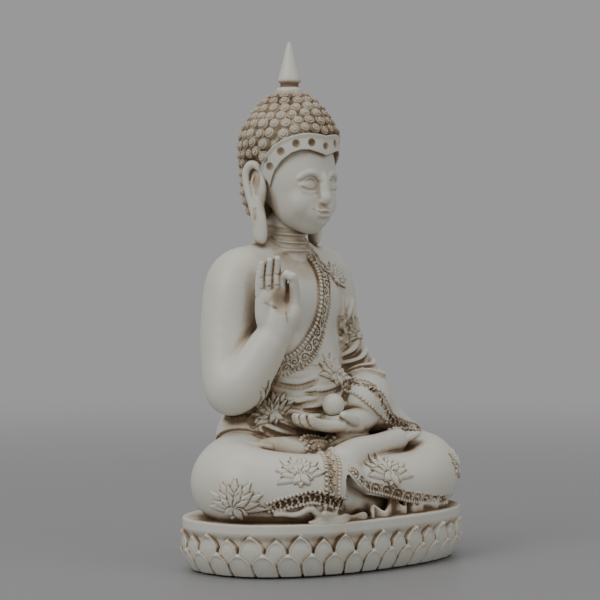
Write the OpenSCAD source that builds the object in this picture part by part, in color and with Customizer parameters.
// Seated buddha statuette on an oval lotus base.
// Millimetres, +Z up. The figure faces -Y, its own left is +X.
// The origin is at the centre of the underside of the base.

/* [Overall] */
// Height from the underside to the tip of the finial
statue_h = 230; // [225:1:240]

/* [Base] */
// Width of the rim slab, along X
base_w = 145; // [143:1:150]
// Depth of the rim slab, along Y
base_d = 89; // [88:1:95]
// Height of the base with its felt
base_h = 22.9; // [22.9:0.1:24]
// Thickness of the rim slab
rim_t = 4.6; // [4:0.1:5.5]
// Thickness of the felt under the base
felt_t = 0.8; // [0.5:0.1:1.2]
// Number of petals in each ring
petal_count = 36; // [30:2:38]

/* [Head] */
// Half width of the hair under its curls
hair_rx = 20.2; // [19.5:0.1:20.6]
// Half depth of the hair under its curls
hair_ry = 20.4; // [19.5:0.1:20.6]
// Radius of one curl
curl_r = 2.6; // [2.3:0.1:2.8]
// Number of rows of curls
curl_rows = 10; // [8:1:11]

/* [Ornament] */
// Radius of the ball in the left hand
pearl_r = 4.85; // [4:0.05:5]
// Radius of the beads along the borders
bead_r = 0.95; // [0.8:0.05:1.1]
// Half width of the embroidered border
border_half_w = 3.4; // [3:0.1:4]

/* [Hidden] */

// Facets: soft forms, small forms and turned forms
soft_fn = 16;
fine_fn = 8;
small_fn = 5;
turned_fn = 64;

// Shape of the base's outline: 2 is an ellipse, more is squarer
squareness = 2.35;
outline_steps = 96;
// How far the outline draws in from the rim to the bottom of the core
core_inset = 4;
// How far the felt draws in from the rim
felt_inset = 9;
// Level where the lower tier of the core gives way to the upper one
tier_z = 11.6;
// Thickness of a petal's first step, and the gap between petals
petal_t = 1.4;
petal_gap = 0.5;

// The head's axis
head_y = 21.5;
crown_z = 205.5;
hair_z = 182.5;
hair_rz = 20;
// The top of the finial's collar
collar_top_z = 213;
neck_r = 7.9;
neck_y = 22.8;
neck_top_z = 147;
neck_foot_z = 135;

ivory = [0.90, 0.88, 0.82];
washed = [0.80, 0.74, 0.64];

// ---------- general shapes ----------

function oval(a, b, t, n = squareness) = [
    a * sign(cos(t)) * pow(abs(cos(t)), 2 / n),
    b * sign(sin(t)) * pow(abs(sin(t)), 2 / n)
];

module oval_plate(a, b, h) {
    linear_extrude(h) polygon([for (i = [0:outline_steps - 1]) oval(a, b, 360 * i / outline_steps)]);
}

module ball(p, r, fn = soft_fn) {
    translate(p) sphere(r, $fn = fn);
}

// Round bar that tapers from one ball to another
module limb(a, b, ra, rb, fn = soft_fn) {
    hull() {
        ball(a, ra, fn);
        ball(b, rb, fn);
    }
}

// Chain of limbs through points [x, y, z, radius]
module chain(points, fn = fine_fn) {
    for (i = [0:len(points) - 2]) {
        limb([for (k = [0:2]) points[i][k]], [for (k = [0:2]) points[i + 1][k]], points[i][3], points[i + 1][3], fn);
    }
}

module egg(p, r, turn = [0, 0, 0], fn = soft_fn) {
    hull() translate(p) rotate(turn) scale(r) sphere(1, $fn = fn);
}

// Everything above a level
module above(z) {
    translate([-150, -150, z]) cube([300, 300, 300]);
}

// ---------- base ----------

module felt_sheet() {
    color("dimgray") oval_plate(base_w / 2 - felt_inset, base_d / 2 - felt_inset, felt_t);
}

// Distance round the core's outline against the turn angle, to space the petals evenly
core_a = base_w / 2 - core_inset;
core_b = base_d / 2 - core_inset;
walk_steps = 360;
function walk(i) = norm(oval(core_a, core_b, i + 1) - oval(core_a, core_b, i));
function running(i, so_far, out) =
    i > walk_steps ? out : running(i + 1, so_far + walk(i), concat(out, [[so_far, i]]));
turn_table = running(0, 0, []);
core_round = turn_table[walk_steps][0];

// The corner that lies a given number of petals round the core
function core_corner(k) = oval(core_a, core_b, lookup(core_round * k / petal_count, turn_table));

// One tier of the core: a polygon with a flat facet behind each petal
module core_tier(phase, z0, z1) {
    translate([0, 0, z0]) linear_extrude(z1 - z0) {
        polygon([for (k = [0:petal_count - 1]) core_corner(k + phase)]);
    }
}

module lotus_plinth() {
    color(ivory) union() {
        core_tier(0, felt_t, tier_z);
        core_tier(0.5, tier_z, base_h - rim_t);
        translate([0, 0, base_h - rim_t]) oval_plate(base_w / 2, base_d / 2, rim_t);
    }
}

// Outline of a petal: round shoulders and a pointed tip over a foot of its own shape
function petal_outline(w, h, foot_h) = concat(
    [[-w * 0.06, 0], [w * 0.06, 0]],
    [for (t = [0:15:75]) [w / 2 * cos(t), foot_h + (h - foot_h) * sin(t) * 0.8]],
    [[0, h]],
    [for (t = [75:-15:0]) [-w / 2 * cos(t), foot_h + (h - foot_h) * sin(t) * 0.8]]
);

// A ring of petals, each flat against its facet of the core, in two steps of relief
module petal_ring(phase, foot_z, h, foot_h) {
    for (k = [0:petal_count - 1]) {
        p = core_corner(k + phase);
        q = core_corner((k + phase + 1) % petal_count);
        w = norm(q - p) - petal_gap;
        middle = (p + q) / 2;
        facing = atan2(q[1] - p[1], q[0] - p[0]);
        translate([middle[0], middle[1], foot_z]) rotate([0, 0, facing]) rotate([90, 0, 0]) {
            linear_extrude(petal_t) polygon(petal_outline(w, h, foot_h));
            translate([0, 0.8, petal_t]) linear_extrude(petal_t * 0.6) {
                polygon(petal_outline(w * 0.72, h * 0.8, foot_h * 0.8));
            }
        }
    }
}

module lower_petals() {
    color(ivory) petal_ring(0, felt_t + 0.4, 11 - felt_t, 3);
}

module upper_petals() {
    color(ivory) petal_ring(0.5, tier_z, base_h - rim_t - tier_z, 3);
}

// ---------- legs and feet ----------

module torso_solid() {
    egg([0, 18, 46], [37, 20, 24]);
    limb([-23, 22, 56], [23, 22, 56], 15, 15);
    egg([0, 17, 76], [25, 16.5, 26]);
    egg([0, 22, 106], [26, 15.5, 28]);
    egg([0, 8.5, 72], [17, 9, 16]);
    limb([-22, 27, 125], [22, 27, 125], 11, 11);
    limb([-5, 25, 138], [-22, 28, 130], 6, 7);
    limb([5, 25, 138], [22, 28, 130], 6, 7);
}

module legs_solid() {
    for (side = [-1, 1]) {
        limb([side * 16, 21, 40], [side * 38, 14, 39.2], 19, 17.2);
        limb([side * 38, 14, 39.2], [side * 53, 2, 37.8], 17.2, 15.8);
        limb([side * 53, 2, 37.8], [side * 56, -7, 37], 15.8, 15.3);
    }
    limb([-56, -8, 36.5], [-38, -23, 35], 15, 13.6);
    limb([-38, -23, 35], [-8, -28, 36], 13.6, 12);
    limb([56, -9, 36.5], [38, -22, 33.5], 15, 12.8);
    limb([38, -22, 33.5], [10, -27, 32], 12.8, 11);
    egg([0, -6, 38], [46, 28, 14]);
}

module leg_half(side) {
    difference() {
        intersection() {
            legs_solid();
            above(base_h);
        }
        torso_solid();
        translate([side > 0 ? -200 : 0, -150, 0]) cube([200, 300, 200]);
    }
}

module right_leg() {
    color(ivory) leg_half(-1);
}

module left_leg() {
    color(ivory) leg_half(1);
}

// ---- soles up, toes outwards ----

module right_foot_solid() {
    chain([[1, -19, 48, 6.4], [14, -17, 49.5, 5.6], [28, -14.5, 51.5, 4.8], [36, -13, 53, 3.4]]);
    for (i = [0:4]) {
        limb([33, -16.5 + 2.2 * i, 52.6], [43.5 - i * 0.6, -16.4 + 2.2 * i, 54.6], 2.1, 1.4, fine_fn);
    }
}

module left_foot_solid() {
    chain([[-12, -6, 50, 5.6], [-24, -2, 50.5, 5], [-36, 3, 51.5, 4.2]]);
    for (i = [0:4]) {
        limb([-36, -1 + 2 * i, 52], [-45.5 + i * 0.6, 3.4 + 2.1 * i, 53.8], 2, 1.4, fine_fn);
    }
}

module right_foot() {
    color(ivory) difference() {
        right_foot_solid();
        legs_solid();
        torso_solid();
    }
}

module left_foot() {
    color(ivory) difference() {
        left_foot_solid();
        legs_solid();
        torso_solid();
        right_foot_solid();
    }
}

// ---------- torso and robe ----------

module torso() {
    color(ivory) difference() {
        intersection() {
            torso_solid();
            above(base_h);
        }
        neck_solid();
    }
}

// The same masses as the torso, thicker by the cloth
module robe_mass(t) {
    egg([0, 22, 106], [26 + t, 15.5 + t, 28 + t]);
    egg([0, 17, 76], [25 + t, 16.5 + t, 26 + t]);
    limb([4, 27, 125], [22, 27, 125], 11 + t, 11 + t);
}

// Points along the robe's free edge, from the left of the neck down to the right side of the waist
function edge_point(s) = [
    9 + 14 * s - 54 * pow(s, 2.2),
    15 - 26 * s * (1 - 0.72 * s),
    138 - 64 * s + 11 * s * s
];

module robe_side() {
    // everything on the left of a slanted plane through the free edge
    translate([9, 0, 118]) rotate([0, -33, 0]) translate([0, -100, -120]) cube([120, 200, 240]);
}

module shoulder_robe() {
    color(washed) difference() {
        intersection() {
            robe_mass(1.3);
            robe_side();
            above(70);
        }
        torso_solid();
        neck_solid();
        left_arm_solid();
        waist_mass();
        legs_solid();
    }
}

module waist_mass() {
    limb([-22, 22, 58], [22, 22, 58], 17.5, 17.5);
    egg([0, 12, 66], [27, 17, 17]);
}

module waist_robe() {
    color(washed) difference() {
        intersection() {
            waist_mass();
            above(base_h);
        }
        torso_solid();
        legs_solid();
        right_foot_solid();
        left_foot_solid();
        right_arm_solid();
        left_arm_solid();
        left_hand_solid();
    }
}

border_steps = 10;

module border_solid(r, depth, from = 0, to = 1) {
    for (i = [0:border_steps - 1]) {
        s0 = from + (to - from) * i / border_steps;
        s1 = from + (to - from) * (i + 1) / border_steps;
        hull() {
            translate(edge_point(s0)) scale([1, depth, 1]) sphere(r, $fn = fine_fn);
            translate(edge_point(s1)) scale([1, depth, 1]) sphere(r, $fn = fine_fn);
        }
    }
}

module robe_border() {
    color(washed) difference() {
        border_solid(border_half_w, 0.7);
        torso_solid();
        robe_mass(1.3);
        neck_solid();
        waist_mass();
        right_arm_solid();
    }
}

bead_count = 26;

module bead_strings() {
    color(ivory) difference() {
        for (side = [-1, 1]) {
            for (i = [0:bead_count - 1]) {
                s = (i + 0.5) / bead_count;
                hull() translate(edge_point(s) + [side * border_half_w * 0.8, -1.6, side * border_half_w * 0.6]) {
                    sphere(bead_r, $fn = small_fn);
                }
            }
        }
        border_solid(border_half_w, 0.7);
        torso_solid();
        robe_mass(1.3);
        waist_mass();
        right_arm_solid();
        neck_solid();
    }
}

// ---------- arms ----------

right_upper_run = [[-26.5, 27.5, 124.5, 13], [-35, 26, 101, 11.8], [-39.5, 22.5, 85, 10.8], [-41.5, 19, 76, 10.2]];
right_fore_run = [[-41, 17.5, 75.5, 10.2], [-38.5, 12.5, 79.8, 9.8], [-33.3, 7, 90.5, 8.4], [-28.3, 3.2, 101, 6.7]];
left_upper_run = [[26, 27.5, 124.5, 13.4], [31, 25.5, 101, 11.8], [34, 22, 88, 11.5], [36.5, 18.5, 79, 11.8]];
left_fore_run = [[36.5, 17.5, 78, 11.8], [34, 8, 71, 10.6], [28, 0, 66.5, 8.8], [21, -5.5, 64, 6.4]];

module right_upper_solid() {
    chain(right_upper_run, soft_fn);
}

module right_fore_solid() {
    chain(right_fore_run, soft_fn);
}

module right_arm_solid() {
    right_upper_solid();
    right_fore_solid();
    right_hand_solid();
}

// A frame for the raised hand: the palm turns outwards about the wrist
module at_right_wrist() {
    translate([-28, 3, 101]) rotate([0, 0, -25]) children();
}

// Palm, three straight fingers, and the first finger and thumb that meet
module right_hand_solid() {
    at_right_wrist() {
        hull() {
            ball([0, 0, 1], 6.2, fine_fn);
            ball([-5.6, 0, 12], 3.2, fine_fn);
            ball([5.6, 0, 12], 3.6, fine_fn);
        }
        limb([-5.2, 0, 16.5], [3, 0, 17], 2.8, 2.8, fine_fn);
        chain([[-7.2, -0.4, 17, 2.1], [-7.6, -0.8, 24, 1.9], [-6.9, -1.6, 30, 1.5]]);
        chain([[-3.9, -0.4, 18, 2.1], [-3.8, -0.9, 26, 1.9], [-3.6, -2.2, 31, 1.5]]);
        chain([[-0.4, -0.4, 18, 2.1], [-0.2, -1, 26, 1.9], [-0.4, -2.6, 31.6, 1.5]]);
        chain([[3, -0.4, 17, 2.2], [2.8, -1.6, 23, 2], [4.8, -6.2, 24.4, 1.8]]);
        chain([[7.2, -1.4, 9, 3], [7.6, -2.8, 16, 2.5], [5.8, -6.2, 24, 1.8]]);
    }
}

module right_upper_arm() {
    color(ivory) difference() {
        right_upper_solid();
        torso_solid();
        right_fore_solid();
        waist_mass();
        legs_solid();
        neck_solid();
    }
}

module right_forearm() {
    color(ivory) difference() {
        right_fore_solid();
        torso_solid();
        right_hand_solid();
        legs_solid();
    }
}

module right_hand() {
    color(ivory) difference() {
        right_hand_solid();
        torso_solid();
    }
}

module left_arm_solid() {
    chain(left_upper_run, soft_fn);
    chain(left_fore_run, soft_fn);
    limb([36, 12, 70], [57, 1, 54], 8, 2.6);
}

module left_hand_solid() {
    chain([[21, -5.5, 64, 5.6], [12, -8, 62, 5.6], [3, -8.5, 61.5, 5.6]]);
    limb([-3, -12, 61.5], [-3, -5, 61.5], 3.2, 3.2, fine_fn);
    for (i = [0:3]) {
        y = -13.2 + 3.3 * i;
        chain([[-4, y, 61.5, 2.6], [-13, y + 0.2, 61.5, 2.3], [-24 + abs(i - 1.4) * 1.6, y + 0.6, 64.6, 1.6]]);
    }
    chain([[8, -2, 64, 3.2], [1, 0.5, 67.5, 2.5], [-6, 0, 69.6, 1.8]]);
}

module left_sleeve() {
    color(washed) difference() {
        left_arm_solid();
        torso_solid();
        left_hand_solid();
        legs_solid();
        right_foot_solid();
                pearl_solid();
    }
}

module sleeve_border_solid() {
    chain([
        [26, 0, 77, 3], [33, -2, 72, 3], [40, -3, 65, 3], [47, -3, 60, 2.8], [54, -2, 55.5, 2.6], [60, -1, 53.5, 1.6]
    ]);
    chain([[26, 0, 77, 3], [21, -2, 72, 2.6], [19, -6, 73, 2]]);
    chain([[47, -3, 60, 2.8], [50, 2, 56, 2.4], [60, -1, 53.5, 1.6]]);
}

module sleeve_border() {
    color(washed) difference() {
        sleeve_border_solid();
        left_arm_solid();
        legs_solid();
        left_hand_solid();
        right_foot_solid();
        torso_solid();
    }
}

module left_hand() {
    color(ivory) difference() {
        left_hand_solid();
        torso_solid();
        pearl_solid();
        legs_solid();
        right_foot_solid();
        left_foot_solid();
    }
}

module pearl_solid() {
    translate([-3, -8, 69.5]) sphere(pearl_r, $fn = turned_fn);
}

module pearl() {
    color(ivory) pearl_solid();
}

// ---------- neck, head and hair ----------

module neck_solid() {
    translate([0, neck_y, neck_foot_z]) cylinder(h = neck_top_z - neck_foot_z, r = neck_r, $fn = turned_fn);
}

// Soft rings of flesh round the neck
module neck() {
    ring_z = [138, 141.2, 144.4];
    color(ivory) translate([0, neck_y, 0]) union() {
        translate([0, 0, neck_foot_z]) cylinder(h = neck_top_z - neck_foot_z, r = neck_r, $fn = turned_fn);
        intersection() {
            for (z = ring_z) {
                translate([0, 0, z]) rotate_extrude($fn = turned_fn) translate([neck_r - 0.9, 0]) circle(1.6, $fn = 24);
            }
            translate([0, 0, 136.5]) cylinder(h = 10, r = neck_r + 3, $fn = turned_fn);
        }
    }
}

module head_solid() {
    egg([0, head_y, 178], [18.6, 19.8, 23]);
    egg([0, 13.5, 166.5], [15.8, 13.4, 18.6]);
    egg([0, 13, 155.5], [12, 11, 9.5]);
    ball([0, 7.8, 150], 4.8);
    // nose
    limb([0, 2.0, 171], [0, -0.8, 164], 1.5, 1.9, fine_fn);
    // lips
    limb([-2.4, 1.8, 158], [2.4, 1.8, 158], 1.2, 1.2, fine_fn);
    limb([-1.8, 2.2, 155.8], [1.8, 2.2, 155.8], 1.4, 1.4, fine_fn);
    for (side = [-1, 1]) {
        // closed lid and brow
        egg([side * 6.8, 3.2, 169], [4.2, 2, 2], [0, 0, side * 12], fine_fn);
        limb([side * 2.6, 1.6, 173], [side * 10.5, 4.2, 174], 1, 0.9, fine_fn);
    }
}

module head() {
    color(ivory) difference() {
        head_solid();
        translate([0, neck_y, neck_foot_z]) cylinder(h = neck_top_z - neck_foot_z, r = neck_r + 3, $fn = turned_fn);
        right_ear_solid();
        mirror([1, 0, 0]) right_ear_solid();
    }
}

module right_ear_solid() {
    chain([[-18.4, 20.5, 169.5, 1.9], [-19.3, 22, 174.2, 2.1], [-20.3, 25.6, 174.6, 2.2], [-20.6, 28, 170.5, 2.2],
        [-20.2, 27, 163, 2.2], [-19.4, 25, 156, 2.2], [-18.4, 23.4, 149, 2.6], [-17.4, 22.6, 142.5, 2.6]]);
    chain([[-18.6, 19.8, 168, 1.7], [-18.4, 20.2, 163.5, 2], [-18.4, 21.6, 156, 2]]);
    limb([-18.6, 23.5, 170], [-18.2, 23, 160], 2.2, 2.2, fine_fn);
}

module right_ear() {
    color(ivory) right_ear_solid();
}

module left_ear() {
    color(ivory) mirror([1, 0, 0]) right_ear_solid();
}

module hair_outer() {
    egg([0, head_y, hair_z], [hair_rx, hair_ry, hair_rz], fn = 24);
    egg([0, head_y, 195], [13, 13, 10.6], fn = 18);
    egg([0, 26, 166], [17.8, 15, 19.5], fn = 18);
}

// The part of the head that the hair leaves bare
module face_window() {
    hull() {
        for (x = [-30, 30]) {
            translate([x, -20, 140]) sphere(1, $fn = small_fn);
            translate([x, -20, 187]) sphere(1, $fn = small_fn);
            translate([x, 7, 186]) sphere(1, $fn = small_fn);
            translate([x, 21, 172]) sphere(1, $fn = small_fn);
            translate([x, 25, 140]) sphere(1, $fn = small_fn);
        }
    }
}

module hair_cap() {
    color(washed) difference() {
        hair_outer();
        head_solid();
        face_window();
        right_ear_solid();
        mirror([1, 0, 0]) right_ear_solid();
        finial_peg();
        translate([0, neck_y, neck_foot_z]) cylinder(h = neck_top_z - neck_foot_z + 2, r = neck_r + 3, $fn = 32);
    }
}

// Curls in level rows round the hair
module snail_curls() {
    row_step = 90 / (curl_rows - 3);
    sunk = curl_r - 1.7;
    color(washed) difference() {
        for (row = [0:curl_rows - 1]) {
            lat = 78 - row * row_step;
            ring_r = hair_rx * cos(lat);
            count = max(5, round(2 * PI * ring_r / (curl_r * 2.1)));
            for (i = [0:count - 1]) {
                t = 360 * (i + (row % 2) / 2) / count;
                along = [cos(lat) * cos(t), cos(lat) * sin(t), sin(lat)];
                p = [along[0] * (hair_rx - sunk), along[1] * (hair_ry - sunk), along[2] * (hair_rz - sunk)];
                under_band = p[1] < 4 && p[2] < 9 && p[1] < -0.9 * p[2] + 4;
                if (!under_band && p[2] > -18) {
                    translate([0, head_y, hair_z] + p) sphere(curl_r, $fn = small_fn);
                }
            }
        }
        hair_outer();
        face_window();
        head_solid();
        right_ear_solid();
        mirror([1, 0, 0]) right_ear_solid();
        collar_solid();
        headband_solid();
    }
}

band_steps = 16;

// A point on the middle of the headband, from ear to ear through the forehead
function band_point(t) = [
    (hair_rx + 0.2) * sin(t),
    head_y - (hair_ry + 0.2) * cos(t),
    184.4 - 17 * pow(abs(t) / 90, 2.2) - 2.2 * exp(-pow(t / 9, 2))
];

module band_segment(i) {
    t0 = -84 + 168 * i / band_steps;
    t1 = -84 + 168 * (i + 1) / band_steps;
    hull() {
        for (t = [t0, t1], dz = [-2.8, 2.8]) {
            translate(band_point(t) + [0, 0, dz]) sphere(1.3, $fn = small_fn);
        }
    }
}

module headband_solid() {
    for (i = [0:band_steps - 1]) {
        band_segment(i);
    }
}

module headband() {
    color(ivory) difference() {
        headband_solid();
        head_solid();
        hair_outer();
        right_ear_solid();
        mirror([1, 0, 0]) right_ear_solid();
    }
}

// ---------- finial ----------

module finial_peg() {
    translate([0, head_y, crown_z - 1]) cylinder(h = 12, r = 2, $fn = turned_fn);
}

module collar_solid() {
    translate([0, head_y, crown_z - 1.5]) cylinder(h = 6, r = 6.2, $fn = turned_fn);
}

// Turned collar that sits on the crown
module finial_ring() {
    color(ivory) translate([0, head_y, 0]) rotate_extrude($fn = turned_fn) polygon([
        [2.2, crown_z - 1.5], [5.8, crown_z - 1.5], [6.2, crown_z + 0.4], [5.9, crown_z + 2.6], [5.0, crown_z + 4],
        [4.2, crown_z + 5], [4.1, crown_z + 6], [4.8, collar_top_z - 0.6], [4.8, collar_top_z], [2.2, collar_top_z]
    ]);
}

module finial_spire() {
    color(ivory) translate([0, head_y, 0]) rotate_extrude($fn = turned_fn) polygon([
        [0, crown_z - 1], [2, crown_z - 1], [2, collar_top_z], [5.1, collar_top_z], [4.6, collar_top_z + 3],
        [3.1, collar_top_z + 9], [1.5, statue_h - 2], [0.8, statue_h - 0.4], [0, statue_h]
    ]);
}

// ---------- dress details on the lap ----------

module lap_border_solid() {
    chain([[-2, -22, 52, 4], [-3, -30, 47, 4.2], [-4, -36, 40, 4.4], [-5, -38.5, 33, 4.6], [-6, -38.5, 28, 4.8]]);
    chain([[-2, -22, 52, 3.6], [3, -30, 47, 3.6], [2, -36, 40, 4], [1, -38.5, 33, 4.4], [1, -38.5, 28, 4.8]]);
}

module lap_border() {
    color(washed) difference() {
        intersection() {
            lap_border_solid();
            above(base_h);
        }
        legs_solid();
        right_foot_solid();
        torso_solid();
    }
}

// A wavy hem that lies on the plinth in front of the shins
module hem_folds() {
    fold_count = 12;
    color(washed) difference() {
        intersection() {
            for (i = [0:fold_count - 1]) {
                x0 = -34 + 5 * i;
                x1 = x0 + 5;
                up = i % 2;
                limb([x0, -36 - 3 * up, 24 + 1.4 * up], [x1, -39 + 3 * up, 25.4 - 1.4 * up], 2.4, 2.4, fine_fn);
            }
            above(base_h);
        }
        legs_solid();
        lap_border_solid();
    }
}

// One lotus blossom: a fan of pointed petals on a patch of cloth
module blossom(p, turn, r) {
    translate(p) rotate(turn) for (k = [-3:3]) {
        hull() {
            sphere(1.2, $fn = small_fn);
            rotate([0, 0, k * 28]) translate([0, r * 0.6, 0]) scale([r * 0.2, r * 0.35, 1]) sphere(1, $fn = small_fn);
            rotate([0, 0, k * 28]) translate([0, r, 0]) sphere(0.5, $fn = small_fn);
        }
    }
}

module lotus_motifs() {
    color(washed) difference() {
        union() {
            blossom([-50, -25, 34], [78, 0, -32], 10);
            blossom([46, -27, 38], [72, 0, 22], 9);
            blossom([62, -16, 38], [80, 0, 60], 9);
            blossom([27, 12, 117], [78, 0, 20], 8);
        }
        legs_solid();
        torso_solid();
        robe_mass(1.3);
        left_arm_solid();
    }
}

felt_sheet();
lotus_plinth();
lower_petals();
upper_petals();
right_leg();
left_leg();
right_foot();
left_foot();
torso();
shoulder_robe();
robe_border();
bead_strings();
waist_robe();
right_upper_arm();
right_forearm();
right_hand();
left_sleeve();
sleeve_border();
left_hand();
pearl();
neck();
head();
right_ear();
left_ear();
hair_cap();
snail_curls();
headband();
finial_ring();
finial_spire();
lap_border();
hem_folds();
lotus_motifs();
